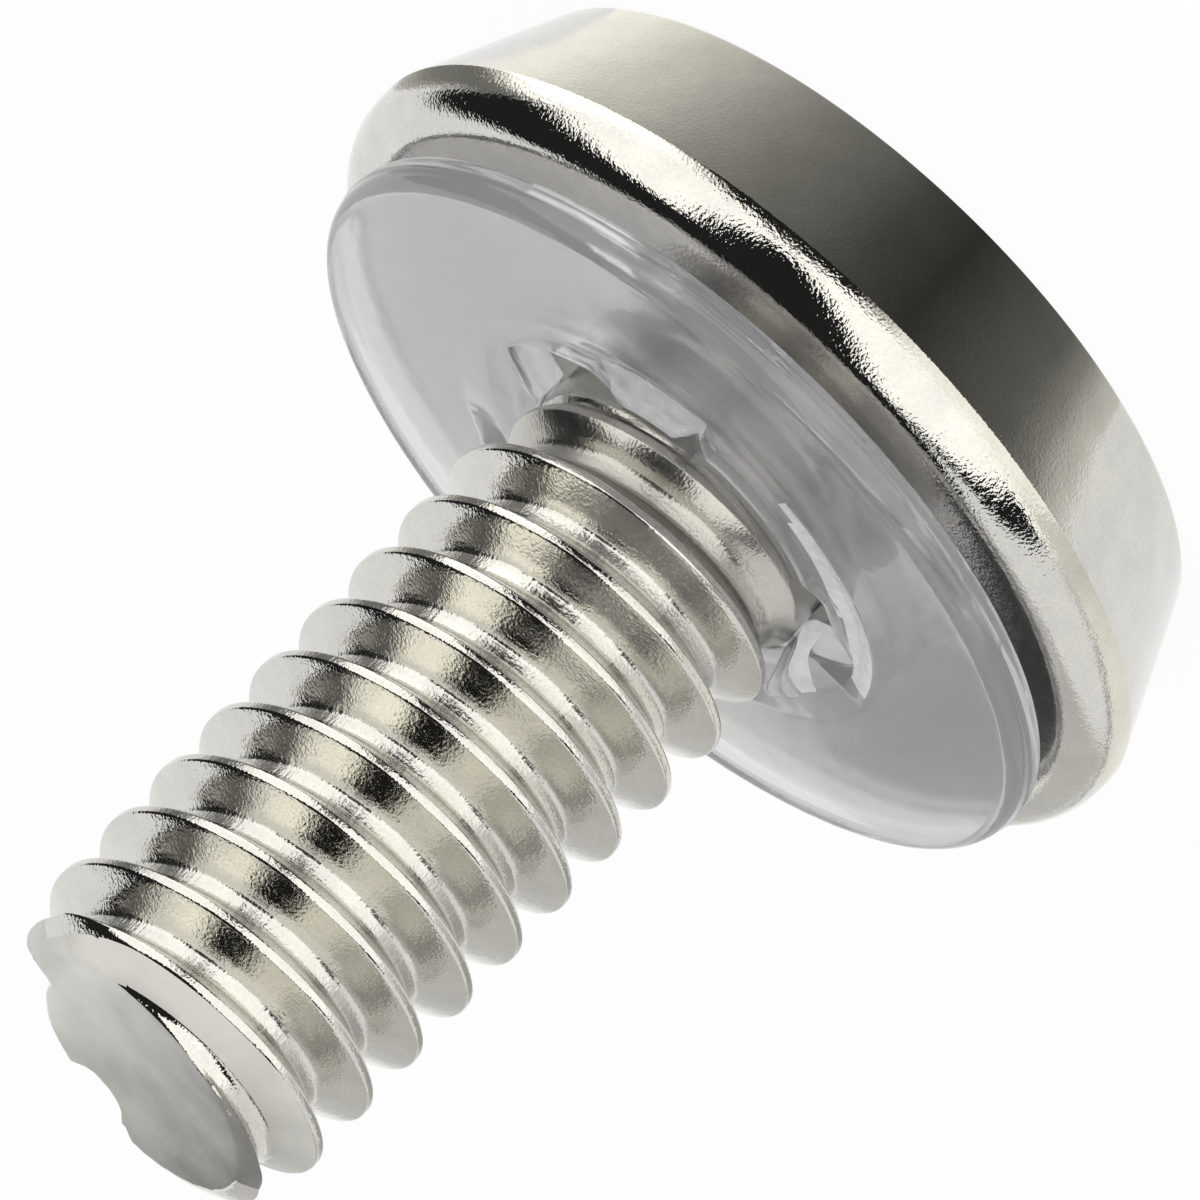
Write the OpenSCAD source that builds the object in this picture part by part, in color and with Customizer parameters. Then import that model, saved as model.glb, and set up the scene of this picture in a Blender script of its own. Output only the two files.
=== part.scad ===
// Rack screw with a broad head, a rolled inch thread and a captive plastic washer.
// It stands on the flat top of its head, with +Z along its axis towards the tip.

/* [Head] */
// Widest diameter of the head
head_d = 13.8; // [13.4:0.1:15]
// Diameter of the flat top of the head
head_top_d = 11.8; // [10.5:0.1:12.4]
// Height of the head
head_h = 3.2; // [3:0.1:4.2]
// Height of the collar from the bearing side to the edge of the tapered side
collar_h = 0.87; // [0.8:0.01:1.2]
// Rounding between the bearing side and the collar
seat_edge_r = 0.65; // [0.3:0.05:0.7]
// Rounding of the top edge
top_edge_r = 0.2; // [0.1:0.05:0.4]

/* [Drive recess] */
// Width of the cross recess from wing tip to wing tip
recess_span = 6.4; // [5.2:0.1:7]
// Width of one wing
wing_w = 1.3; // [1:0.05:1.6]
// Depth of the cross recess
recess_depth = 2.5; // [2:0.1:2.7]

/* [Thread] */
// Threads to an inch
threads_per_inch = 24; // [20:1:28]
// Diameter over the crests
thread_d = 5.3; // [5.2:0.02:5.46]
// Depth of the thread as a share of its pitch
thread_depth_share = 0.59; // [0.5:0.01:0.62]
// Length from the bearing side of the head to the tip
shank_l = 12.3; // [8:0.1:20]
// Diameter of the plain neck under the head
neck_d = 4.7; // [4.5:0.05:4.75]
// Length of the plain neck
neck_l = 1.15; // [1.1:0.05:1.4]
// Turns over which the thread grows out of the neck
run_out_turns = 1.6; // [1.2:0.1:2.4]

/* [Tip] */
// Diameter of the end face, inside the sloping edge
tip_d = 4.2; // [4.1:0.05:4.6]
// Slope of the edge, from the end face out to the crest
tip_edge_slope = 30; // [25:1:45]
// Slant of the sheared end face
tip_slant = 5; // [0:0.5:6]
// Diameter of the bare core where the first thread is cut back
core_tip_d = 3.7; // [3.5:0.05:3.9]
// Depth of the cut back thread start
start_cut_l = 0.7; // [0.5:0.02:0.72]
// Angle of the cut back thread start
start_cut_turn = 92; // [40:2:100]
// Width of the bite where the thread start breaks out of the end face
start_bite_d = 1.1; // [0.7:0.1:1.3]

/* [Washer] */
// Outer diameter of the washer
washer_d = 12.6; // [11.5:0.1:12.8]
// Thickness of the washer
washer_t = 0.62; // [0.6:0.02:0.7]
// Gap between the washer and the bearing side of the head
washer_gap = 0.26; // [0.1:0.02:0.3]
// Rounding of the front edge
washer_edge_r = 0.25; // [0.15:0.05:0.35]
// Outer diameter of the sunk ring round the hole
sunk_d = 7.3; // [7:0.1:8.5]
// Thickness of the sunk ring
sunk_t = 0.35; // [0.25:0.05:0.45]
// Height of the lip that stands up round the neck
lip_t = 0.5; // [0.4:0.02:0.54]
// Play between the neck and the hole, on the radius
neck_play = 0.08; // [0.04:0.01:0.1]
// Distance from the axis to a pointed corner of the hole
corner_r = 3.27; // [3:0.01:3.35]
// Angle of a pointed corner
corner_angle = 72; // [50:1:80]

/* [Hidden] */

nickel = [0.78, 0.76, 0.71];
clear_plastic = [0.74, 0.74, 0.77];

round_fn = 96;
fillet_steps = 4;
overlap = 0.2;

top_r = head_top_d / 2;
wide_r = head_d / 2;
wide_edge_r = 0.12;
neck_r = neck_d / 2;
neck_bevel = 0.5;
neck_end_z = head_h + neck_l;
tip_z = head_h + shank_l;

// The recess narrows to a blunt point
recess_r = recess_span / 2;
recess_floor_r = 0.8;
recess_heart_r = wing_w * 0.95;

// One pitch of the thread: an eighth of crest, a quarter of root and two flanks
pitch = 25.4 / threads_per_inch;
crest_r = thread_d / 2;
root_r = crest_r - thread_depth_share * pitch;
crest_half = pitch / 16;
foot_half = pitch * 3 / 8;
steps_per_turn = 36;
// The first turn starts inside the neck, a little below its surface
buried_r = neck_r - 0.1;
first_crest_z = neck_end_z - pitch * 5 / 8 - 0.02;
turns_to_tip = (tip_z - first_crest_z) / pitch;
// The last turn ends past the tip, so that the end face cuts a full thread
last_step = ceil(steps_per_turn * (turns_to_tip + 0.8));
// The crest meets the end face at this angle
tip_crest_angle = 154;
first_angle = tip_crest_angle - 360 * turns_to_tip;
start_cut_angle = tip_crest_angle - 50 - start_cut_turn;
start_bite_angle = start_cut_angle + start_cut_turn * 0.77;
// The slanted end face is highest on this side
tip_high_x = -1.6;

washer_r = washer_d / 2;
hole_r = neck_r + neck_play;
lip_w = 0.14;
lip_foot_w = 0.32;
sunk_r = sunk_d / 2;
sunk_slope_w = 0.3;
sunk_floor_r = sunk_r - sunk_slope_w;
back_edge_r = 0.15;
washer_back_z = head_h + washer_gap;
washer_front_z = washer_back_z + washer_t;

// A corner b between a and c, rounded to radius r; radius 0 keeps it sharp
function toward(a, b) = (b - a) / norm(b - a);
function corner(a, b, c, r) =
    r == 0 ? [b] :
    let (
        u = toward(b, a),
        v = toward(b, c),
        half = acos(u * v) / 2,
        middle = b + toward([0, 0], u + v) * r / sin(half),
        start = b + u * r / tan(half),
        stop = b + v * r / tan(half)
    )
    [for (k = [0 : fillet_steps])
        let (mix = start + (stop - start) * k / fillet_steps)
        middle + toward(middle, mix) * r];

// An outline given as [x, y, rounding] points
function outline(points) =
    let (count = len(points), at = [for (p = points) [p[0], p[1]]])
    [for (i = [0 : count - 1])
        each corner(at[(i + count - 1) % count], at[i], at[(i + 1) % count], points[i][2])];

// Head and plain neck, turned about the axis
module blank() {
    rotate_extrude($fn = round_fn)
        polygon(outline([
            [0, 0, 0],
            [top_r, 0, top_edge_r],
            [wide_r, head_h - collar_h, wide_edge_r],
            [wide_r, head_h, seat_edge_r],
            [neck_r, head_h, 0],
            [neck_r, neck_end_z - neck_bevel / 2, 0],
            [neck_r - neck_bevel, neck_end_z + neck_bevel / 2, 0],
            [0, neck_end_z + neck_bevel / 2, 0]
        ]));
}

// Cross recess for the driver, open at the top of the head
module drive_recess() {
    intersection() {
        translate([0, 0, -overlap])
            cylinder(
                r1 = recess_r + overlap * (recess_r - recess_floor_r) / recess_depth,
                r2 = recess_floor_r,
                h = recess_depth + overlap,
                $fn = round_fn
            );
        union() {
            for (turn = [0, 90])
                rotate(turn)
                    translate([-recess_span, -wing_w / 2, -2 * overlap])
                        cube([2 * recess_span, wing_w, recess_depth + 3 * overlap]);
            rotate(45)
                translate([-recess_heart_r, -recess_heart_r, -2 * overlap])
                    cube([2 * recess_heart_r, 2 * recess_heart_r, recess_depth + 3 * overlap]);
        }
    }
}

// How far the thread has grown out of the neck at a step, from 0 to 1
function growth(step) = min(1, step / (steps_per_turn * run_out_turns));
function grown(step, full_r) = buried_r + (full_r - buried_r) * growth(step);

// The four points of the thread's section at a step: foot, crest, crest, foot
function section(step) =
    let (
        angle = first_angle + 360 * step / steps_per_turn,
        z = first_crest_z + pitch * step / steps_per_turn,
        crest = grown(step, crest_r),
        foot = grown(step, root_r)
    )
    [for (p = [[foot, -foot_half], [crest, -crest_half], [crest, crest_half], [foot, foot_half]])
        [p[0] * cos(angle), p[0] * sin(angle), z + p[1]]];

// The threaded rod as one closed helical skin, with a ramp at each end
module threaded_rod() {
    count = last_step + 1;
    bottom = 4 * count;
    top = bottom + 1;
    points = [
        each [for (step = [0 : last_step]) each section(step)],
        [0, 0, first_crest_z],
        [0, 0, first_crest_z + pitch * last_step / steps_per_turn]
    ];
    flanks = [
        for (step = [0 : last_step - 1], side = [0 : 2])
            let (p = 4 * step + side, q = p + 4)
            each [[p, q + 1, q], [p, p + 1, q + 1]]
    ];
    roots = [
        for (step = [0 : last_step - 1 - steps_per_turn])
            let (p = 4 * step + 3, q = p + 4, far = 4 * (step + steps_per_turn))
            each [[p, far + 4, q], [p, far, far + 4]]
    ];
    bottom_ramp = [for (step = [0 : steps_per_turn - 1]) [bottom, 4 * step, 4 * step + 4]];
    bottom_step = [[bottom, 4 * steps_per_turn, 3, 2, 1, 0]];
    top_ramp = [
        for (step = [last_step - steps_per_turn : last_step - 1])
            [top, 4 * step + 7, 4 * step + 3]
    ];
    last = 4 * last_step;
    before = last - 4 * steps_per_turn + 3;
    top_step = [[top, before, last, last + 1, last + 2, last + 3]];
    polyhedron(
        points,
        [each flanks, each roots, each bottom_ramp, each bottom_step, each top_ramp, each top_step],
        convexity = 10
    );
}

// Cut that leaves a slanted flat end face with a sloping edge
module tip_cut() {
    room_r = crest_r + pitch;
    edge_r = tip_d / 2;
    translate([tip_high_x, 0, tip_z])
        rotate([0, tip_slant, 0])
            translate([-tip_high_x, 0, 0])
                rotate_extrude($fn = round_fn)
                    polygon([
                        [0, 0],
                        [edge_r, 0],
                        [room_r, (edge_r - room_r) * tan(tip_edge_slope)],
                        [room_r, 2 * pitch],
                        [0, 2 * pitch]
                    ]);
}

// Cut that takes the first stretch of thread off the core, with a round bite out of the core
module thread_start_cut() {
    rotate(start_cut_angle)
        rotate_extrude(angle = start_cut_turn, $fn = round_fn)
            translate([core_tip_d / 2, tip_z - start_cut_l])
                square([crest_r, start_cut_l + overlap]);
    rotate(start_bite_angle)
        translate([core_tip_d / 2, 0, tip_z - start_cut_l])
            cylinder(d = start_bite_d, h = start_cut_l + overlap, $fn = round_fn / 2);
}

module screw() {
    color(nickel)
        union() {
            difference() {
                blank();
                drive_recess();
            }
            difference() {
                threaded_rod();
                tip_cut();
                thread_start_cut();
            }
        }
}

// A pointed corner of the washer's hole, reaching out from the axis along +X
module hole_corner() {
    reach = corner_r * tan(corner_angle / 2);
    translate([0, 0, washer_back_z - overlap])
        linear_extrude(washer_t + 2 * overlap)
            polygon([[corner_r, 0], [0, reach], [0, -reach]]);
}

module washer() {
    color(clear_plastic)
        difference() {
            rotate_extrude($fn = round_fn)
                polygon(outline([
                    [hole_r, washer_back_z, 0],
                    [washer_r, washer_back_z, back_edge_r],
                    [washer_r, washer_front_z, washer_edge_r],
                    [sunk_r, washer_front_z, 0],
                    [sunk_floor_r, washer_back_z + sunk_t, 0],
                    [hole_r + lip_foot_w, washer_back_z + sunk_t, 0],
                    [hole_r + lip_w, washer_back_z + lip_t, 0],
                    [hole_r, washer_back_z + lip_t, 0]
                ]));
            for (turn = [0 : 90 : 270])
                rotate(turn)
                    hole_corner();
        }
}

screw();
washer();
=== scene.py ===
import math

import bmesh
import bpy
import numpy as np
from mathutils import Matrix, Vector, noise


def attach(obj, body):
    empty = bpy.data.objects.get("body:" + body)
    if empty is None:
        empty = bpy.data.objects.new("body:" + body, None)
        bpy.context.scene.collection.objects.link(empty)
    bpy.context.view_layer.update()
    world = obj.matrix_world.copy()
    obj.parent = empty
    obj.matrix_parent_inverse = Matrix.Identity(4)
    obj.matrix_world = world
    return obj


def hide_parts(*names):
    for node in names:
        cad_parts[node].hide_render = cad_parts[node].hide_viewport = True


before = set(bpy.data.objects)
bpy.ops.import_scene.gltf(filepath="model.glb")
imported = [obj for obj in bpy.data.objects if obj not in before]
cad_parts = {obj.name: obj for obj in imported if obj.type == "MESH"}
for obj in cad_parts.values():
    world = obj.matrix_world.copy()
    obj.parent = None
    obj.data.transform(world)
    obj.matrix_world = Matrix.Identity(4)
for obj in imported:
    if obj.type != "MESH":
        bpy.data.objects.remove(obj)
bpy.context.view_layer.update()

# Sizes of the CAD source, in millimetres
MM = 0.001
HEAD_H = 3.2
HEAD_R = 6.9
HEAD_TOP_R = 5.9
COLLAR_H = 0.87
SEAT_EDGE_R = 0.65
WIDE_EDGE_R = 0.12
TOP_EDGE_R = 0.2
RECESS_R = 3.2
RECESS_FLOOR_R = 0.8
RECESS_DEPTH = 2.5
WING_HALF = 0.65
HEART_HALF = 1.235
NECK_R = 2.35
NECK_END_Z = 4.35
NECK_BEVEL = 0.5
PITCH = 25.4 / 24
CREST_R = 2.65
ROOT_R = CREST_R - 0.59 * PITCH
CREST_HALF = PITCH / 16
FOOT_HALF = PITCH * 3 / 8
BURIED_R = NECK_R - 0.1
RUN_OUT_TURNS = 1.6
FIRST_CREST_Z = NECK_END_Z - PITCH * 5 / 8 - 0.02
TIP_Z = HEAD_H + 12.3
TIP_CREST_ANGLE = 154
TIP_EDGE_R = 2.1
TIP_EDGE_RUN = 1 / math.tan(math.radians(30))
TIP_SLANT = math.tan(math.radians(5))
TIP_HIGH_X = -1.6
CORE_TIP_R = 1.85
START_CUT_L = 0.7
START_CUT_FROM = 12
START_CUT_TO = 104
START_BITE_AT = 82.8
START_BITE_R = 0.55
WASHER_R = 6.3
WASHER_BACK_Z = HEAD_H + 0.26
WASHER_FRONT_Z = WASHER_BACK_Z + 0.62
HOLE_R = NECK_R + 0.08
SUNK_R = 3.65
SUNK_FLOOR_R = 3.35
SUNK_Z = WASHER_BACK_Z + 0.43
LIP_Z = WASHER_BACK_Z + 0.5

# Fine form that only the scene has: the collar's slight crown on the viewer's side, by azimuth
CROWN_SLOPE = math.tan(math.radians(8))
CROWN_SHARE = [(238, 0), (252, 1), (312, 1), (326, 0)]
CROWN_FROM_Z = HEAD_H - COLLAR_H + 0.06
CROWN_FADE_Z = 2.5
CROWN_FADE_L = 0.4
CROWN_IN_R = 5.5
CROWN_IN_L = 0.7
RECESS_BREAK_R = 0.07
# The end face's burr, and the side of the tip that draws in
TIP_ROUND = 0.06
TIP_BURR_DEPTHS = (0.012, 0.03, 0.06, 0.1, 0.15, 0.21)
TIP_DRAW_IN = 0.06
TIP_DRAW_IN_L = 0.5
TIP_DRAW_IN_SIDE = Vector((-0.91, -0.42, 0))
TIP_DISH = 0.05
# The matte stretch of the last flank, in degrees back from the tip, and how it starts and fades
MATTE_TURN = 330
MATTE_FADE = 110
MATTE_IN_R = ROOT_R + 0.07
MATTE_GAP = 0.02
END_FACING = 0.87
# The blunt end of the thread, by azimuth, and the core beside it as (azimuth, radius)
LOBE_FROM = -16
LOBE_TO = 15
LOBE_LEAN = 14
LOBE_L = 0.95
LOBE_DROP = 0.06
LOBE_ROUNDS = 14
CORE_SHAPE = [(0, 1.75), (12, 1.75), (45, 1.88), (104, CORE_TIP_R), (300, CORE_TIP_R)]
# The washer's raised flap and the parting line on its rim
FLAP_RISE = 0.1
SEAM_Z = WASHER_BACK_Z + 0.29
SEAM_HALF = 0.04
SEAM_RISE = 0.025

# Mesh fineness
HEAD_COLUMNS = 384
THREAD_COLUMNS = 160
WASHER_COLUMNS = 480
CORNER_STEPS = 5


def soft_max(a, b, width):
    """The larger of two values, with the step between them rounded."""
    return 0.5 * (a + b + np.sqrt((a - b) ** 2 + width ** 2))


def soft_min(a, b, width):
    """The smaller of two values, with the step between them rounded."""
    return -soft_max(-a, -b, width)


def around(angles, table):
    """Values from a table by azimuth, all the way round."""
    return np.interp(np.degrees(angles), *zip(*table), period=360)


def rounded_corner(before, at, after, radius):
    """Points along a corner that is rounded to a radius."""
    before, at, after = (np.array(p[:2], float) for p in (before, at, after))
    if radius == 0:
        return [at]
    u = (before - at) / np.linalg.norm(before - at)
    v = (after - at) / np.linalg.norm(after - at)
    half = math.acos(float(u @ v)) / 2
    middle = at + (u + v) / np.linalg.norm(u + v) * radius / math.sin(half)
    reach = radius / math.tan(half)
    start, stop = at + u * reach - middle, at + v * reach - middle
    sweep = math.pi - 2 * half
    points = []
    for k in range(CORNER_STEPS + 1):
        t = k / CORNER_STEPS
        mix = start * math.sin((1 - t) * sweep) + stop * math.sin(t * sweep)
        points.append(middle + mix / math.sin(sweep))
    return points


def outline(points, longest=None):
    """An open line through (x, y, rounding) points, with long stretches split."""
    line = [np.array(points[0][:2], float)]
    for before, at, after in zip(points, points[1:], points[2:]):
        line += rounded_corner(before, at, after, at[2])
    line.append(np.array(points[-1][:2], float))
    if longest is None:
        return np.array(line)
    fine = [line[0]]
    for a, b in zip(line, line[1:]):
        count = max(1, math.ceil(np.linalg.norm(b - a) / longest))
        fine += [a + (b - a) * (k + 1) / count for k in range(count)]
    return np.array(fine)


def add_grid(bm, points, closed_columns=True):
    """Adds rows of points as a net of quads and returns its vertices by row."""
    rows = [[bm.verts.new(p) for p in row] for row in points]
    for low, high in zip(rows, rows[1:]):
        count = len(low) if closed_columns else len(low) - 1
        for k in range(count):
            m = (k + 1) % len(low)
            bm.faces.new((low[k], low[m], high[m], high[k]))
    return rows


def ring_points(radii, heights, angles):
    """Rows of points on rings: one row for each height."""
    rows = []
    for r, z in zip(radii, heights):
        r = np.broadcast_to(r, angles.shape)
        z = np.broadcast_to(z, angles.shape)
        rows.append(np.stack([r * np.cos(angles), r * np.sin(angles), z], 1))
    return rows


def recess_radius(angles, depth):
    """Radius of the cross recess's wall at a depth below the head's top."""
    tiny = 1e-6
    wing_x = WING_HALF / (np.abs(np.sin(angles)) + tiny)
    wing_y = WING_HALF / (np.abs(np.cos(angles)) + tiny)
    turned = angles - math.pi / 4
    heart = HEART_HALF / np.maximum(np.abs(np.cos(turned)), np.abs(np.sin(turned)))
    cross = np.maximum(np.maximum(wing_x, wing_y), heart)
    cone = RECESS_R + (RECESS_FLOOR_R - RECESS_R) * depth / RECESS_DEPTH
    return soft_min(cross, cone, 0.08)


def crown(z):
    """How far the collar draws in above its wide edge, a few hundredths of a millimetre."""
    steps = np.linspace(CROWN_FROM_Z, max(z, CROWN_FROM_Z), 30)
    fade = np.clip((steps - CROWN_FADE_Z) / CROWN_FADE_L, 0, 1)
    slope = CROWN_SLOPE * (1 - fade * fade * (3 - 2 * fade))
    return float(np.mean(slope) * (steps[-1] - steps[0]))


def add_head(bm):
    """Head turned about the axis, from the neck round to the recess floor."""
    angles = np.arange(HEAD_COLUMNS) * 2 * math.pi / HEAD_COLUMNS
    profile = outline([
        (NECK_R + 0.35, HEAD_H, 0),
        (HEAD_R, HEAD_H, SEAT_EDGE_R),
        (HEAD_R, HEAD_H - COLLAR_H, WIDE_EDGE_R),
        (HEAD_TOP_R, 0, TOP_EDGE_R),
        (RECESS_R + 0.5, 0, 0),
    ], longest=0.35)
    crowned = around(angles, CROWN_SHARE)
    rows = []
    for r, z in profile:
        draw_in = crown(z) * min(1, max(0, (r - CROWN_IN_R) / CROWN_IN_L))
        rows += ring_points([r - draw_in * crowned], [z], angles)
    for turn in (0, 22.5, 45, 67.5, 90):
        t = math.radians(turn)
        out = RECESS_BREAK_R * (1 - math.sin(t))
        depth = RECESS_BREAK_R * (1 - math.cos(t))
        rows += ring_points([recess_radius(angles, depth) + out], [depth], angles)
    for depth in np.linspace(0.3, RECESS_DEPTH - 0.12, 9):
        rows += ring_points([recess_radius(angles, depth)], [depth], angles)
    floor = recess_radius(angles, RECESS_DEPTH)
    for share, drop in ((0.95, 0.06), (0.8, 0.02), (0.5, 0.0), (0.2, 0.0)):
        rows += ring_points([floor * share], [RECESS_DEPTH - drop], angles)
    net = add_grid(bm, rows)
    bm.faces.new(net[-1])
    return net[0]


def thread_profile():
    """One pitch of the rolled thread: axial offsets from the crest, and radii."""
    points = [
        (-PITCH / 2, ROOT_R, 0),
        (-FOOT_HALF, ROOT_R, 0.11),
        (-CREST_HALF, CREST_R, 0.05),
        (CREST_HALF, CREST_R, 0.05),
        (FOOT_HALF, ROOT_R, 0.11),
        (PITCH / 2, ROOT_R, 0),
    ]
    return outline(points, longest=0.11)[:-1]


def neck_radius(z):
    """Radius of the plain neck, which ends in a cone inside the thread."""
    cone = NECK_R - (z - (NECK_END_Z - NECK_BEVEL / 2))
    return np.minimum(NECK_R, cone)


def bite_radius(angles):
    """Distance from the axis to the round bite at the thread start."""
    off = (angles - math.radians(START_BITE_AT) + math.pi) % (2 * math.pi) - math.pi
    reach = CORE_TIP_R * np.cos(off)
    inside = START_BITE_R ** 2 - (CORE_TIP_R * np.sin(off)) ** 2
    near = reach - np.sqrt(np.maximum(inside, 0))
    return np.where((inside > 0) & (np.abs(off) < 1), near, CORE_TIP_R + 1)


def cut_start(r, angles, z):
    """Takes the first stretch of thread off the core at the tip."""
    crest_z = TIP_Z - PITCH * ((TIP_CREST_ANGLE - np.degrees(angles)) % 360) / 360
    begin = START_CUT_FROM + 5 - LOBE_LEAN * np.clip((z - crest_z + 0.05) / 0.2, 0, 1)
    middle = np.radians((begin + START_CUT_TO) / 2)
    half = np.radians((START_CUT_TO - begin) / 2)
    away = np.abs((angles - middle + math.pi) % (2 * math.pi) - math.pi) - half
    outside = soft_max(away * CREST_R, TIP_Z - START_CUT_L - z, 0.08)
    wall = around(angles, CORE_SHAPE) + 2.2 * np.maximum(outside, 0)
    bite = bite_radius(angles) + 2.2 * np.maximum(TIP_Z - START_CUT_L - z, 0)
    return soft_min(soft_min(r, wall, 0.06), bite, 0.06)


def add_shank(bm):
    """Neck and thread as one helical net, cut at both ends."""
    profile = thread_profile()
    low_turn = (HEAD_H - FIRST_CREST_Z) / PITCH - 1.6
    high_turn = (TIP_Z - FIRST_CREST_Z) / PITCH + 1.7
    first_angle = math.radians(TIP_CREST_ANGLE) - 2 * math.pi * (TIP_Z - FIRST_CREST_Z) / PITCH
    steps = np.arange(
        math.floor(low_turn * THREAD_COLUMNS), math.ceil(high_turn * THREAD_COLUMNS) + 1
    )
    turns = steps / THREAD_COLUMNS
    angles = (first_angle + 2 * math.pi * turns)[:, None] + np.zeros(len(profile))
    z = FIRST_CREST_Z + PITCH * turns[:, None] + profile[:, 0]
    grown = np.clip((z - FIRST_CREST_Z) / PITCH / RUN_OUT_TURNS, 0, 1)
    r = BURIED_R + (profile[:, 1] - BURIED_R) * grown
    r = soft_max(r, neck_radius(z), 0.03)
    edge = TIP_EDGE_R + TIP_EDGE_RUN * (TIP_Z + TIP_SLANT * TIP_HIGH_X - z)
    r = soft_min(r, edge / (1 + TIP_EDGE_RUN * TIP_SLANT * np.cos(angles)), 0.04)
    r = cut_start(r, angles, z)
    r = np.maximum(r, 0.5)
    points = np.stack([r * np.cos(angles), r * np.sin(angles), z], 2)
    net = [[bm.verts.new(p) for p in row] for row in points]
    last = len(profile) - 1
    for i in range(len(net) - 1):
        for j in range(last):
            bm.faces.new((net[i][j], net[i + 1][j], net[i + 1][j + 1], net[i][j + 1]))
        if i + 1 + THREAD_COLUMNS < len(net):
            far = i + THREAD_COLUMNS
            bm.faces.new((net[i][last], net[i + 1][last], net[far + 1][0], net[far][0]))


def slice_at(bm, at, normal, clear=False):
    """Cuts the whole net with a plane, and can drop what lies in front of it."""
    geometry = bm.verts[:] + bm.edges[:] + bm.faces[:]
    bmesh.ops.bisect_plane(
        bm, geom=geometry, dist=1e-6, plane_co=at, plane_no=normal, clear_outer=clear
    )


def round_tip_edge(bm, at, normal):
    """Leaves a thin burr round the sheared end face, with a ragged edge."""
    for depth in TIP_BURR_DEPTHS:
        slice_at(bm, at - normal * depth, normal)
    for v in bm.verts:
        depth = (at - v.co).dot(normal)
        r = math.hypot(v.co.x, v.co.y)
        side = max(0, v.co.dot(TIP_DRAW_IN_SIDE) / r) ** 3
        draw_in = TIP_DRAW_IN * side * max(0, 1 - depth / TIP_DRAW_IN_L)
        v.co.x *= 1 - draw_in / r
        v.co.y *= 1 - draw_in / r
        if depth < TIP_ROUND:
            inset = TIP_ROUND - math.sqrt(max(0, TIP_ROUND ** 2 - (TIP_ROUND - depth) ** 2))
            torn = noise.noise(v.co * 5) * 0.025 + noise.noise(v.co * 17) * 0.015
            inset += torn * (1 - depth / TIP_ROUND)
            v.co.x *= (r - inset) / r
            v.co.y *= (r - inset) / r


def round_lobe(bm):
    """Rounds the blunt end of the thread beside its cut start."""
    lobe = []
    for v in bm.verts:
        turn = (math.degrees(math.atan2(v.co.y, v.co.x)) + 180) % 360 - 180
        high = v.co.z > TIP_Z - LOBE_L and math.hypot(v.co.x, v.co.y) > ROOT_R + 0.12
        if LOBE_FROM - 12 < turn < LOBE_TO + 9 and high:
            lobe.append(v)
    for _ in range(LOBE_ROUNDS):
        bmesh.ops.smooth_vert(
            bm, verts=lobe, factor=0.5, use_axis_x=True, use_axis_y=True, use_axis_z=True
        )


def walk_loop(edges):
    """The vertices of a closed ring of edges, in order."""
    links = {}
    for e in edges:
        for v in e.verts:
            links.setdefault(v, []).append(e.other_vert(v))
    first = edges[0].verts[0]
    loop, before, here = [first], None, first
    while True:
        after = next(v for v in links[here] if v is not before)
        if after is first:
            return loop
        loop.append(after)
        before, here = here, after


def even_out(values, reach):
    """Running mean round a closed loop."""
    wide = np.concatenate([values[-reach:], values, values[:reach]])
    return np.convolve(wide, np.full(2 * reach + 1, 1 / (2 * reach + 1)), "valid")


def fill_end(bm, loop, at, normal):
    """Closes the tip with rings of faces, a little dished, each smoother than the last."""
    centre = sum((v.co for v in loop), Vector()) / len(loop)
    centre -= normal * (centre - at).dot(normal)
    spots = np.array([v.co - centre for v in loop])
    faces = []
    outer = loop
    rings = ((0.97, 1), (0.9, 2), (0.8, 4), (0.65, 8), (0.5, 14), (0.3, 24), (0.12, 30))
    for share, reach in rings:
        smooth = np.stack([even_out(spots[:, k], reach) for k in range(3)], 1) * share
        ring = []
        for spot in smooth:
            place = centre + Vector(spot)
            dish = TIP_DISH * (1 - share ** 2) + 0.03 * (1 - share) * noise.noise(place * 1.3)
            ring.append(bm.verts.new(place - normal * dish))
        for k in range(len(loop)):
            m = (k + 1) % len(loop)
            faces.append(bm.faces.new((outer[k], outer[m], ring[m], ring[k])))
        outer = ring
    faces.append(bm.faces.new(outer))
    return faces


def last_flank(face):
    """True for the tip side of the last turn and its blunt end, matte like the sheared end."""
    spot = face.calc_center_median()
    reach = math.hypot(spot.x, spot.y)
    azimuth = math.degrees(math.atan2(spot.y, spot.x))
    turn = (TIP_CREST_ANGLE - azimuth) % 360
    faces_tip = reach > MATTE_IN_R or abs(face.normal.z) > END_FACING
    lobe_low = TIP_Z - PITCH * turn / 360 - CREST_HALF - LOBE_DROP
    if LOBE_FROM < azimuth < LOBE_TO and spot.z > lobe_low:
        return faces_tip
    turn += 360 * max(0, math.ceil((TIP_Z - spot.z) / PITCH - turn / 360))
    above = spot.z - TIP_Z + PITCH * turn / 360 - CREST_HALF
    if turn < MATTE_TURN:
        return above > MATTE_GAP and faces_tip
    left_over = MATTE_IN_R + (CREST_R - ROOT_R) * (turn - MATTE_TURN) / MATTE_FADE
    return MATTE_GAP < above < FOOT_HALF and reach > left_over


def finish_mesh(bm, name, sharp_deg):
    """Turns a net in millimetres into a shaded object in metres."""
    bmesh.ops.recalc_face_normals(bm, faces=bm.faces[:])
    bmesh.ops.scale(bm, vec=(MM, MM, MM), verts=bm.verts[:])
    mesh = bpy.data.meshes.new(name)
    bm.to_mesh(mesh)
    bm.free()
    mesh.shade_smooth()
    mesh.set_sharp_from_angle(angle=math.radians(sharp_deg))
    piece = bpy.data.objects.new(name, mesh)
    bpy.context.scene.collection.objects.link(piece)
    return piece


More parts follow.
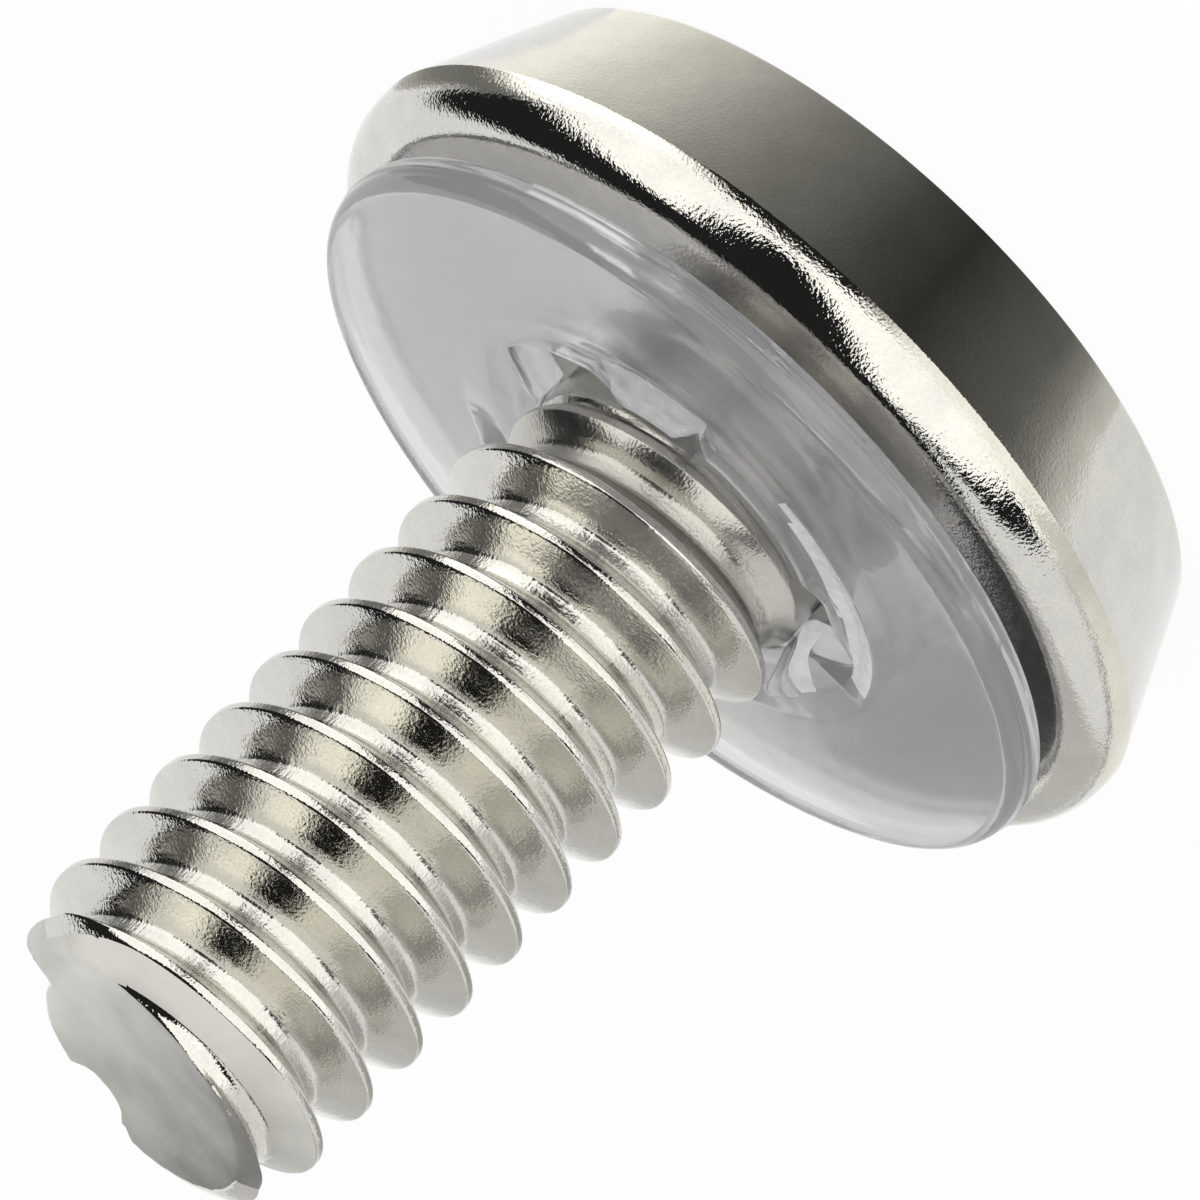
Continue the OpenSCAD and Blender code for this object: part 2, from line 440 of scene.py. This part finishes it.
def make_screw():
    """Head, neck, thread and tip as one closed piece."""
    shank = bmesh.new()
    add_shank(shank)
    slice_at(shank, Vector((0, 0, HEAD_H)), Vector((0, 0, -1)), clear=True)
    slant = math.atan(TIP_SLANT)
    at = Vector((TIP_HIGH_X, 0, TIP_Z))
    normal = Vector((math.sin(slant), 0, math.cos(slant)))
    slice_at(shank, at, normal, clear=True)
    round_tip_edge(shank, at, normal)
    round_lobe(shank)
    rim = [e for e in shank.edges if e.is_boundary]
    top = [e for e in rim if e.verts[0].co.z > NECK_END_Z]
    shank.normal_update()
    matte = [face for face in shank.faces if last_flank(face)]
    matte += fill_end(shank, walk_loop(top), at, normal)
    for face in matte:
        face.material_index = 1
    seat = [e for e in shank.edges if e.is_boundary]
    ring = add_head(shank)
    inner = [shank.edges.get((a, b)) for a, b in zip(ring, ring[1:] + ring[:1])]
    bmesh.ops.triangle_fill(shank, use_beauty=True, edges=seat + inner)
    return finish_mesh(shank, "screw_steel", 34)


screw = make_screw()


# Edge of the washer's hole: how far it stands back at each azimuth, in four torn corners
HOLE_CORNERS = [
    (72, 0), (81, 0.29), (85.5, 0.53), (90, 0.84), (94.5, 0.53), (99, 0.29), (108, 0),
    (172, 0), (180, 0.29), (184, 0.6), (188, 0.88), (195, 0.5), (203, 0.36), (211, 0.3), (217, 0),
    (274, 0), (278, 0.2), (280.5, 0.42), (283, 0.2), (287, 0),
    (311, 0), (320, 0.42), (332, 0.67), (343, 0.79), (353, 0.84), (359, 0.46), (366, 0),
]
# The flap on the viewer's side is pushed up and whitened, as (azimuth, share)
FLAP = [(270, 0.2), (282, 0.6), (288, 1), (308, 1), (318, 0), (200, 0)]
# Torn fingers of plastic, bent up by the thread: foot and tip as (azimuth, radius, z), width
FINGERS = (
    ((184, 2.52, 3.84), (179, 3.06, 4.44), 0.26),
    ((177, 2.50, 3.84), (175, 2.96, 4.55), 0.15),
    ((170, 2.50, 3.84), (169, 2.82, 4.62), 0.13),
)
# How deep the sunk ring is, as (azimuth, share)
SUNK_SHARE = [
    (20, 0.3), (60, 0.7), (120, 0.7), (150, 0.3), (178, 0.35), (188, 1), (300, 1), (332, 0.3),
]
# Inner edge of the strained, whitish arc in the sunk ring, as (azimuth, radius)
ARC = [(184, 3.35), (193, 3.2), (205, 3.05), (217, 2.93), (243, 2.95), (252, 3.1)]


def add_finger(bm, foot, tip, width):
    """A thin blunt strip of torn plastic that curls up and out from the hole's edge."""
    rows = []
    for t in np.linspace(0, 1, 8):
        turn = math.radians(foot[0] + (tip[0] - foot[0]) * t)
        out = Vector((math.cos(turn), math.sin(turn), 0))
        side = Vector((-math.sin(turn), math.cos(turn), 0))
        r = foot[1] + (tip[1] - foot[1]) * t ** 1.7
        z = foot[2] + (tip[2] - foot[2]) * math.sin(t * math.pi / 2)
        ragged = 1 + 0.25 * math.sin(t * 9 + foot[0])
        lean = math.radians(20 + 30 * t)
        upward = Vector((0, 0, 1))
        across = (out * math.cos(lean) - upward * math.sin(lean)) * width / 2 * ragged
        middle = out * r + upward * z + side * 0.05 * math.sin(t * 5 + foot[0])
        thick = side * 0.03
        corners = ((-1, -1), (1, -1), (1, 1), (-1, 1))
        rows.append([middle + across * a + thick * b for a, b in corners])
    net = add_grid(bm, rows)
    bm.faces.new(net[0])
    bm.faces.new(net[-1])


def strain(face):
    """Material of a washer face: 1 on the pushed up flap, 2 on the strained arc, or else 0."""
    spot = face.calc_center_median()
    turn = math.atan2(spot.y, spot.x)
    reach = math.hypot(spot.x, spot.y)
    if spot.z < SUNK_Z - 0.1:
        return 0
    degrees = math.degrees(turn) % 360
    if ARC[0][0] < degrees < ARC[-1][0]:
        return 2 if np.interp(degrees, *zip(*ARC)) < reach < SUNK_R + 0.02 else 0
    flap = around(np.array([turn]), FLAP)[0]
    return 1 if flap > 0.5 and reach < SUNK_FLOOR_R - 0.1 else 0


def make_washer():
    """Moulded washer with a rounded rim, a sunk ring and flaps round the torn hole."""
    section = outline([
        (HOLE_R, LIP_Z - 0.05, 0),
        (HOLE_R, WASHER_BACK_Z, 0.03),
        (WASHER_R, WASHER_BACK_Z, 0.15),
        (WASHER_R, SEAM_Z - SEAM_HALF, 0),
        (WASHER_R + SEAM_RISE, SEAM_Z, 0.008),
        (WASHER_R, SEAM_Z + SEAM_HALF, 0),
        (WASHER_R, WASHER_FRONT_Z, 0.25),
        (SUNK_R + 0.1, WASHER_FRONT_Z, 0.35),
        (SUNK_FLOOR_R - 0.08, SUNK_Z, 0.3),
        (HOLE_R + 0.32, SUNK_Z, 0.06),
        (HOLE_R + 0.14, LIP_Z, 0.04),
        (HOLE_R, LIP_Z, 0.04),
        (HOLE_R, LIP_Z - 0.05, 0),
    ], longest=0.22)[:-1]
    angles = np.arange(WASHER_COLUMNS) * 2 * math.pi / WASHER_COLUMNS
    back = around(angles, HOLE_CORNERS)
    open_share = np.clip(back / 0.5, 0, 0.9)
    flap = around(angles, FLAP)
    sunk = around(angles, SUNK_SHARE)
    rows = []
    for r, z in section:
        share = np.clip((SUNK_FLOOR_R - r) / (SUNK_FLOOR_R - HOLE_R), 0, 1)
        radius = r + back * share
        height = np.full_like(angles, z)
        if z > SUNK_Z - 0.01 and r < SUNK_FLOOR_R:
            height -= (z - SUNK_Z) * open_share
            height += FLAP_RISE * flap * share * (1 - open_share)
        if z > SUNK_Z - 0.01 and r < SUNK_R + 0.4:
            height = WASHER_FRONT_Z - (WASHER_FRONT_Z - height) * sunk
        rows += ring_points([radius], [height], angles)
    bm = bmesh.new()
    net = add_grid(bm, rows)
    for k in range(WASHER_COLUMNS):
        m = (k + 1) % WASHER_COLUMNS
        bm.faces.new((net[-1][k], net[-1][m], net[0][m], net[0][k]))
    for face in bm.faces:
        face.material_index = strain(face)
    clear = set(bm.faces)
    for finger in FINGERS:
        add_finger(bm, *finger)
    for face in bm.faces:
        if face not in clear:
            face.material_index = 2
    return finish_mesh(bm, "washer_plastic", 40)


washer = make_washer()
for piece, body, node, slot in (
    (screw, "screw_body", "screw", "nickel_plated_steel"),
    (washer, "washer_body", "washer", "translucent_plastic"),
):
    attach(piece, body)
    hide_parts(node)


# Materials: small helpers for node trees
def new_material(name):
    """A material with its node tree and shader."""
    material = bpy.data.materials.new(name)
    material.use_nodes = True
    tree = material.node_tree
    return material, tree, tree.nodes["Principled BSDF"]


def add_node(tree, kind, **values):
    """A node with its settings; values for sockets go by socket name."""
    node = tree.nodes.new(kind)
    for key, value in values.items():
        if key in node.inputs:
            node.inputs[key].default_value = value
        else:
            setattr(node, key, value)
    return node


def noise_at(tree, where, size_mm, detail=2.0, roughness=0.5):
    """Noise whose grains are about size_mm across."""
    node = add_node(tree, "ShaderNodeTexNoise", Scale=1 / (size_mm * MM))
    node.inputs["Detail"].default_value = detail
    node.inputs["Roughness"].default_value = roughness
    tree.links.new(where, node.inputs["Vector"])
    return node.outputs["Fac"]


def remap(tree, value, low, high, to_low, to_high):
    """Value moved from one range to another, and kept inside it."""
    node = add_node(tree, "ShaderNodeMapRange")
    sockets = ("From Min", "From Max", "To Min", "To Max")
    for socket, number in zip(sockets, (low, high, to_low, to_high)):
        node.inputs[socket].default_value = number
    tree.links.new(value, node.inputs["Value"])
    return node.outputs["Result"]


def from_noise(tree, value, to_low, to_high):
    """Noise, which mostly lies between 0.3 and 0.7, moved to a range."""
    return remap(tree, value, 0.3, 0.7, to_low, to_high)


def combine(tree, operation, one, two):
    """Two values, each a socket or a number, put together by a math node."""
    node = add_node(tree, "ShaderNodeMath", operation=operation)
    for socket, value in zip(node.inputs, (one, two)):
        if isinstance(value, (int, float)):
            socket.default_value = value
        else:
            tree.links.new(value, socket)
    return node.outputs["Value"]


def mix_colour(tree, factor, one, two):
    """A colour between two colours, by a share."""
    node = add_node(tree, "ShaderNodeMix", data_type="RGBA")
    tree.links.new(factor, node.inputs["Factor"])
    node.inputs[6].default_value = (*one, 1)
    node.inputs[7].default_value = (*two, 1)
    return node.outputs[2]


def add_bump(tree, height, depth_mm, under=None):
    """A bump of about depth_mm, laid over another one."""
    node = add_node(tree, "ShaderNodeBump", Strength=1.0, Distance=depth_mm * MM)
    tree.links.new(height, node.inputs["Height"])
    if under is not None:
        tree.links.new(under, node.inputs["Normal"])
    return node.outputs["Normal"]


def shank_share(tree, where, near, far, ramps):
    """1 closer to the axis than near, 0 beyond far, times ramps along the axis."""
    apart = add_node(tree, "ShaderNodeSeparateXYZ")
    tree.links.new(where, apart.inputs[0])
    flat = add_node(tree, "ShaderNodeCombineXYZ")
    tree.links.new(apart.outputs["X"], flat.inputs["X"])
    tree.links.new(apart.outputs["Y"], flat.inputs["Y"])
    reach = add_node(tree, "ShaderNodeVectorMath", operation="LENGTH")
    tree.links.new(flat.outputs[0], reach.inputs[0])
    total = remap(tree, reach.outputs["Value"], near * MM, far * MM, 1, 0)
    for low, high, at_low, at_high in ramps:
        there = remap(tree, apart.outputs["Z"], low * MM, high * MM, at_low, at_high)
        total = combine(tree, "MULTIPLY", total, there)
    return total


def nickel_material():
    """Bright nickel plate: warm silver with a fine grain, roll marks in the thread's root, and
    painted shade on the neck beside the washer.
    """
    material, tree, shader = new_material("nickel_plate")
    where = add_node(tree, "ShaderNodeTexCoord").outputs["Object"]
    shader.inputs["Metallic"].default_value = 1.0
    patches = noise_at(tree, where, 0.6, detail=4)
    broad = from_noise(tree, patches, 0, 0.5)
    fine = from_noise(tree, noise_at(tree, where, 0.05), 0, 0.5)
    speckle = combine(tree, "ADD", broad, fine)
    colour = mix_colour(tree, speckle, (0.56, 0.552, 0.52), (0.70, 0.685, 0.635))
    smear = noise_at(tree, where, 0.35, detail=4)
    run_out_ramp = (NECK_END_Z + 0.05, NECK_END_Z + 0.65, 0, 1)
    tip_ramp = (TIP_Z - 0.7, TIP_Z - 0.4, 1, 0)
    first_turn_ramp = (NECK_END_Z + 0.55, NECK_END_Z + 0.95, 1, 0)
    root = shank_share(tree, where, ROOT_R + 0.03, ROOT_R + 0.12, [run_out_ramp, tip_ramp])
    # Painted shade: the neck and first turn just above the washer get a base colour darkened halfway
    # to dark brown grey, where shade falls between the parts; they are also made rougher.
    neck = shank_share(tree, where, CREST_R + 0.05, CREST_R + 0.2, [first_turn_ramp])
    neck_painted_shade = add_node(tree, "ShaderNodeMix", data_type="RGBA")
    tree.links.new(remap(tree, neck, 0, 1, 0, 0.5), neck_painted_shade.inputs["Factor"])
    tree.links.new(colour, neck_painted_shade.inputs[6])
    neck_painted_shade.inputs[7].default_value = (0.36, 0.345, 0.30, 1)
    tree.links.new(neck_painted_shade.outputs[2], shader.inputs["Base Color"])
    total = from_noise(tree, smear, 0.015, 0.045)
    for share, amount in ((root, 0.14), (neck, 0.2)):
        total = combine(tree, "ADD", total, combine(tree, "MULTIPLY", share, amount))
    tree.links.new(total, shader.inputs["Roughness"])
    grain = noise_at(tree, where, 0.048, detail=1)
    normal = add_bump(tree, grain, 0.0052)
    peel = noise_at(tree, where, 0.15, detail=2)
    normal = add_bump(tree, peel, 0.003, normal)
    swell = noise_at(tree, where, 0.7, detail=1)
    normal = add_bump(tree, swell, 0.006, normal)
    drawn = add_node(tree, "ShaderNodeMapping")
    drawn.inputs["Scale"].default_value = (1, 1, 0.1)
    tree.links.new(where, drawn.inputs["Vector"])
    streaks = noise_at(tree, drawn.outputs["Vector"], 0.09, detail=3)
    marks = combine(tree, "MULTIPLY", streaks, root)
    normal = add_bump(tree, marks, 0.009, normal)
    tree.links.new(normal, shader.inputs["Normal"])
    return material


def sheared_material():
    """Plated over the rough sheared end: the same metal, matte and pale, with painted shade
    darkening the end face towards one side.
    """
    material, tree, shader = new_material("nickel_sheared")
    where = add_node(tree, "ShaderNodeTexCoord").outputs["Object"]
    shader.inputs["Metallic"].default_value = 0.15
    shader.inputs["Specular IOR Level"].default_value = 0.25
    patches = noise_at(tree, where, 1.1, detail=3)
    apart = add_node(tree, "ShaderNodeSeparateXYZ")
    tree.links.new(where, apart.inputs[0])
    along, high = apart.outputs["X"], apart.outputs["Z"]
    # Painted shade: the end face is made darker from x = +2 mm towards x = -2 mm, standing in for
    # the light falling off across it; the blunt end of the thread beyond x = 1.6 mm is darker too.
    end_low, end_high = (TIP_Z - 0.4) * MM, (TIP_Z - 0.25) * MM
    painted_shade_across_end = remap(tree, along, 2.0 * MM, -2.0 * MM, 0, 0.95)
    on_end = remap(tree, high, end_low, end_high, 0.1, 1)
    on_lobe = remap(tree, along, 1.6 * MM, 2.2 * MM, 0, 0.33)
    shade = combine(tree, "ADD", combine(tree, "MULTIPLY", painted_shade_across_end, on_end), on_lobe)
    spread = combine(tree, "ADD", shade, from_noise(tree, patches, -0.12, 0.12))
    colour = mix_colour(tree, spread, (0.69, 0.68, 0.64), (0.17, 0.168, 0.158))
    tree.links.new(colour, shader.inputs["Base Color"])
    tree.links.new(from_noise(tree, patches, 0.32, 0.45), shader.inputs["Roughness"])
    tear = add_node(tree, "ShaderNodeMapping")
    tear.inputs["Scale"].default_value = (1, 0.12, 1)
    tear.inputs["Rotation"].default_value = (0, 0, math.radians(35))
    tree.links.new(where, tear.inputs["Vector"])
    grain = noise_at(tree, tear.outputs["Vector"], 0.09, detail=3)
    tree.links.new(add_bump(tree, grain, 0.006), shader.inputs["Normal"])
    return material


def plastic_material():
    """Glossy clear moulding with a faint lavender tint and a little haze."""
    material, tree, shader = new_material("clear_plastic")
    where = add_node(tree, "ShaderNodeTexCoord").outputs["Object"]
    cloud = noise_at(tree, where, 1.6, detail=3)
    haze = from_noise(tree, cloud, 0, 1)
    colour = mix_colour(tree, haze, (0.84, 0.84, 0.875), (0.88, 0.88, 0.90))
    tree.links.new(colour, shader.inputs["Base Color"])
    shader.inputs["Transmission Weight"].default_value = 0.85
    shader.inputs["IOR"].default_value = 1.45
    tree.links.new(from_noise(tree, cloud, 0.04, 0.10), shader.inputs["Roughness"])
    ripple = noise_at(tree, where, 0.5, detail=2)
    tree.links.new(add_bump(tree, ripple, 0.004), shader.inputs["Normal"])
    return material


def torn_material(name, low, high, clear):
    """The same plastic where it was bent: whiter and less clear."""
    material, tree, shader = new_material(name)
    where = add_node(tree, "ShaderNodeTexCoord").outputs["Object"]
    streaks = noise_at(tree, where, 0.2, detail=4)
    spread = from_noise(tree, streaks, 0, 1)
    colour = mix_colour(tree, spread, (low, low, low + 0.03), (high, high, high + 0.02))
    tree.links.new(colour, shader.inputs["Base Color"])
    shader.inputs["Transmission Weight"].default_value = clear
    shader.inputs["IOR"].default_value = 1.45
    tree.links.new(from_noise(tree, streaks, 0.12, 0.3), shader.inputs["Roughness"])
    tree.links.new(add_bump(tree, streaks, 0.01), shader.inputs["Normal"])
    return material


for material in (nickel_material(), sheared_material()):
    screw.data.materials.append(material)
washer.data.materials.append(plastic_material())
washer.data.materials.append(torn_material("bent_plastic", 0.62, 0.80, 0.4))
washer.data.materials.append(torn_material("white_plastic", 0.70, 0.88, 0.12))

# Camera at the photograph's angle: rolled, long lens
VIEW_TILT = math.radians(69)
TO_CAMERA = Vector((0, -math.sin(VIEW_TILT), math.cos(VIEW_TILT)))
ROLL = math.radians(46.2)
FRAME_WIDTH = 16.575
FRAME_CENTRE_Z = 3.92
FRAME_LEFT = 1.0235
FRAME_DOWN = 1.207
CAMERA_AWAY = 800
SENSOR_WIDTH = 36


def make_camera():
    """A camera far off, whose frame is the photograph's."""
    axis = Vector((0, 0, -1))
    across = Vector((-1, 0, 0))
    along = (axis - TO_CAMERA * axis.dot(TO_CAMERA)).normalized()
    right = along * math.cos(ROLL) + across * math.sin(ROLL)
    up = along * math.sin(ROLL) - across * math.cos(ROLL)
    centre = Vector((0, 0, FRAME_CENTRE_Z)) - right * FRAME_LEFT - up * FRAME_DOWN
    place = centre + TO_CAMERA * CAMERA_AWAY
    turn = Matrix((right, up, TO_CAMERA)).transposed().to_4x4()
    data = bpy.data.cameras.new("camera")
    data.sensor_width = SENSOR_WIDTH
    data.lens = SENSOR_WIDTH * CAMERA_AWAY / FRAME_WIDTH
    data.clip_start = 0.01
    data.clip_end = 10
    camera = bpy.data.objects.new("camera", data)
    camera.matrix_world = Matrix.Translation(place * MM) @ turn
    bpy.context.scene.collection.objects.link(camera)
    bpy.context.scene.camera = camera


# Studio: directions are azimuth and elevation from the screw, in degrees
STUDIO_CENTRE = Vector((0, 0, 4))
VIEWER_AZIMUTH = 270
DOME_ROWS = 16


def direction(azimuth, elevation):
    """A unit vector towards an azimuth and an elevation."""
    a, e = math.radians(azimuth), math.radians(elevation)
    return Vector((math.cos(a) * math.cos(e), math.sin(a) * math.cos(e), math.sin(e)))


def card_material(name, colour):
    """Cards and cloths of the studio glow at the level stored in their points."""
    material = bpy.data.materials.new(name)
    # The cards are so large that rays find them without being aimed, which is quicker
    material.cycles.emission_sampling = "NONE"
    material.use_nodes = True
    tree = material.node_tree
    tree.nodes.clear()
    level = add_node(tree, "ShaderNodeAttribute", attribute_name="level")
    glow = add_node(tree, "ShaderNodeEmission", Color=(*colour, 1))
    end = tree.nodes.new("ShaderNodeOutputMaterial")
    tree.links.new(level.outputs["Fac"], glow.inputs["Strength"])
    tree.links.new(glow.outputs["Emission"], end.inputs["Surface"])
    return material


def make_card(name, material, points, levels, lights=False, through=False):
    """A card of the studio, seen in reflections or through clear plastic; it can also give light."""
    bm = bmesh.new()
    add_grid(bm, [[Vector(p) * MM for p in row] for row in points], closed_columns=False)
    mesh = bpy.data.meshes.new(name)
    bm.to_mesh(mesh)
    bm.free()
    store = mesh.attributes.new("level", "FLOAT", "POINT")
    store.data.foreach_set("value", np.ravel(levels).astype(np.float32))
    mesh.materials.append(material)
    card = bpy.data.objects.new(name, mesh)
    bpy.context.scene.collection.objects.link(card)
    card.visible_camera = False
    card.visible_shadow = False
    card.visible_glossy = not through
    card.visible_transmission = through
    card.visible_diffuse = lights


def dome_card(name, material, away, azimuths, low, high, level, lights=False):
    """A card on a dome round the screw, between two lines of elevation."""
    rows = []
    for share in np.linspace(0, 1, DOME_ROWS):
        elevations = low + (high - low) * share
        ways = [direction(a, e) for a, e in zip(azimuths, elevations)]
        rows.append([STUDIO_CENTRE + way * away for way in ways])
    make_card(name, material, rows, np.full((DOME_ROWS, len(azimuths)), level), lights)


def floor_card(name, material, radii, fan, table, z):
    """A card on the floor, with levels by azimuth; its edges fan out from the viewer's side."""
    azimuths = np.arange(table[0][0], table[-1][0] + 0.1, 0.5)
    levels = np.interp(azimuths, *zip(*table))
    rows = []
    for r in radii:
        fanned = azimuths + fan * (azimuths - VIEWER_AZIMUTH) * (r - HEAD_TOP_R)
        rows.append([Vector((0, 0, z)) + direction(a, 0) * r for a in fanned])
    make_card(name, material, rows, np.tile(levels, (len(radii), 1)))


# Lower edge of the dark cloth over the set, as (azimuth, elevation)
CANOPY_EDGE = [
    (0, -20), (36, -20), (39, 5), (42, 28), (45, 44), (50, 52), (60, 52), (70, 46), (82, 38),
    (90, 30), (96, 38), (100, 48), (105, 58), (112, 64), (130, 67), (165, 69), (185, 72),
    (205, 78), (235, 78), (250, 72), (256, 64), (262, 54), (268, 40), (274, 26),
    (280, 14), (286, 7), (292, 5), (298, 8), (304, 18), (311, 28), (318, 40), (326, 50),
    (336, 56), (345, 52), (349, 35), (352, 15), (357, -5), (360, -20),
]
# Levels on the floor close to the head, further out and far out, as (azimuth, level)
FLOOR_RING = [
    (235, 0.8), (239, 0.62), (243, 0.3), (248, 0.15), (256, 0.10), (266, 0.04), (275, 0.08),
    (282, 0.16), (290, 0.24), (298, 0.39), (308, 0.69), (316, 0.88), (326, 1.2), (336, 1.2),
]
FLOOR_FIELD = [
    (140, 0.95), (150, 1.0), (162, 1.05), (174, 1.05), (186, 1.05), (198, 0.98), (208, 0.86),
    (220, 0.85), (226, 1.35), (258, 1.35), (264, 1.05), (269, 0.4), (273, 0.02), (304, 0.02),
    (310, 1.1), (316, 2.0), (350, 2.0), (354, 1.3), (358, 0.5), (362, 0.2), (380, 0.25), (394, 0.6),
]
FLOOR_FAR = [
    (100, 0.9), (114, 0.66), (126, 0.48), (150, 0.46), (174, 0.53), (186, 0.67), (198, 0.75),
    (206, 0.95), (212, 1.5), (283, 1.5), (287, 0.2), (295, 0.2), (299, 1.5), (343, 1.5),
    (354, 1.3), (361, 0.3), (374, 0.15), (384, 0.5), (394, 1.0),
]
FLOOR_RIM = [
    (100, 0.9), (206, 1.0), (212, 1.5), (343, 1.5), (354, 1.3), (361, 0.3), (374, 0.15),
    (384, 0.5), (394, 1.0),
]
# Level of the backdrop that the washer shows from under it, as (x, level)
BACKDROP = [
    (-14, 0.0), (-4.4, 0.0), (-3.8, 0.08), (-3.2, 0.7), (-2, 0.95), (-0.5, 1.1), (1.5, 1.05),
    (3, 0.9), (5, 0.85), (14, 0.85),
]
BACKDROP_Y = 20
# Levels of the plain cards
CLOTH = 0.02
SOFTBOX = 1.55
WALL = 0.66
# Cards on the dome: name, distance, azimuths from and to, elevations from and to, level, gives light
DOME_CARDS = (
    ("softbox_left", 170, 214, 290, -20, 82, SOFTBOX, True),
    ("softbox_right", 170, 290, 360, -20, 58, SOFTBOX, True),
    ("softbox_frame", 165, 204, 222, -2, 80, CLOTH, False),
    ("wall", 165, 98, 140, -2, 70, WALL, False),
)
CANOPY_AWAY = 150
# Floor cards lie just above the floor, and the floor just under the head
FLOOR_CARD_Z = 0.02
RING_CARD_Z = 0.015
RING_FAN = 0.19
FLOOR_DROP = 0.01
FLOOR_HALF = 600
FLOOR_WHITE = 0.94


def make_studio():
    """Two softboxes either side of the camera, a dark cloth above and cards on the floor."""
    white = card_material("white_card", (1, 0.99, 0.965))
    warm = card_material("warm_card", (1, 0.985, 0.915))
    for name, away, first, last, low, high, level, lights in DOME_CARDS:
        azimuths = np.arange(first, last + 0.1, 2)
        edges = [np.full_like(azimuths, e) for e in (low, high)]
        dome_card(name, white, away, azimuths, *edges, level, lights)
    azimuths = np.arange(0, 361, 2.0)
    edge = np.interp(azimuths, *zip(*CANOPY_EDGE))
    dome_card("canopy", white, CANOPY_AWAY, azimuths, edge, np.full_like(edge, 90), CLOTH)
    floor_card("floor_ring", warm, np.linspace(5.75, 9.0, 9), RING_FAN, FLOOR_RING, RING_CARD_Z)
    floor_card("floor_field", warm, (8.5, 23.0), 0, FLOOR_FIELD, FLOOR_CARD_Z)
    floor_card("floor_far", white, (23.0, 45.0), 0, FLOOR_FAR, FLOOR_CARD_Z)
    floor_card("floor_rim", white, (45.0, 170.0), 0, FLOOR_RIM, FLOOR_CARD_Z)
    across, levels = zip(*BACKDROP)
    rows = [[(x, BACKDROP_Y, z) for x in across] for z in (3, 30)]
    make_card("backdrop", white, rows, np.tile(levels, (2, 1)), through=True)


def seen_directly(tree, share):
    """A share for camera, glossy and transmission rays, and 0 for the rest."""
    path = tree.nodes.new("ShaderNodeLightPath")
    total = path.outputs["Is Camera Ray"]
    for name in ("Is Glossy Ray", "Is Transmission Ray"):
        total = combine(tree, "MAXIMUM", total, path.outputs[name])
    return combine(tree, "MULTIPLY", total, share)


def make_floor():
    """Plain pale floor; it glows white for what looks at it, and keeps the shadow."""
    half = FLOOR_HALF * MM
    low = -FLOOR_DROP * MM
    mesh = bpy.data.meshes.new("floor")
    corners = [(-half, -half, low), (half, -half, low), (half, half, low), (-half, half, low)]
    mesh.from_pydata(corners, [], [(0, 1, 2, 3)])
    floor = bpy.data.objects.new("floor", mesh)
    bpy.context.scene.collection.objects.link(floor)
    material = bpy.data.materials.new("floor_white")
    material.use_nodes = True
    tree = material.node_tree
    tree.nodes.clear()
    matte = add_node(tree, "ShaderNodeBsdfDiffuse", Color=(0.9, 0.9, 0.9, 1))
    glow = add_node(tree, "ShaderNodeEmission", Color=(1, 1, 1, 1), Strength=1.0)
    mix = tree.nodes.new("ShaderNodeMixShader")
    end = tree.nodes.new("ShaderNodeOutputMaterial")
    tree.links.new(seen_directly(tree, FLOOR_WHITE), mix.inputs["Fac"])
    tree.links.new(matte.outputs["BSDF"], mix.inputs[1])
    tree.links.new(glow.outputs["Emission"], mix.inputs[2])
    tree.links.new(mix.outputs["Shader"], end.inputs["Surface"])
    mesh.materials.append(material)


def make_world():
    """White to what looks at it, and a plain soft light for the rest."""
    world = bpy.data.worlds.new("studio")
    bpy.context.scene.world = world
    world.use_nodes = True
    world.cycles.sampling_method = "NONE"
    tree = world.node_tree
    back = tree.nodes["Background"]
    back.inputs["Color"].default_value = (1, 1, 1, 1)
    strength = remap(tree, seen_directly(tree, 1.0), 0, 1, 0.6, 1.0)
    tree.links.new(strength, back.inputs["Strength"])


make_camera()
make_studio()
make_floor()
make_world()
bpy.context.scene.view_settings.view_transform = "Standard"
